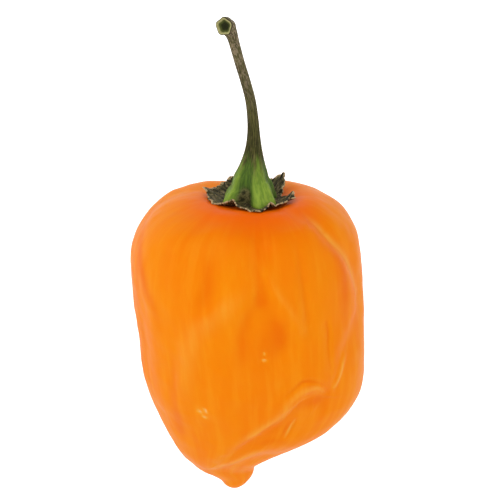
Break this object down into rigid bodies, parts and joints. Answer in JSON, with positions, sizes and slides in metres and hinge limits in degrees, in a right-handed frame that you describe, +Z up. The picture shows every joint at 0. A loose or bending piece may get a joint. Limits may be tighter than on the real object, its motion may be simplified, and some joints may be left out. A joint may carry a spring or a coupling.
{
  "type": "chilli pepper",
  "caption": "Fresh orange habanero chilli pepper lying on its back, with a furrowed pod, a frilled calyx and a bent, cut stem.",
  "frame": {"origin": "centre of the box's floor, on the surface that the pepper lies on", "axes": "+X to the pepper's right as it lies on its back, +Y along it towards the stem, +Z up"},
  "size_m": [0.0388, 0.0768, 0.0345],
  "materials": {
    "pod_skin": "smooth, waxy orange skin",
    "calyx_skin": "dried, papery dark olive",
    "stem_skin": "fibrous, bright green at the foot and olive brown above"
  },
  "bodies": {
    "root": {"pod": "pod_skin", "calyx": "calyx_skin", "stem": "stem_skin"}
  },
  "joints": []
}
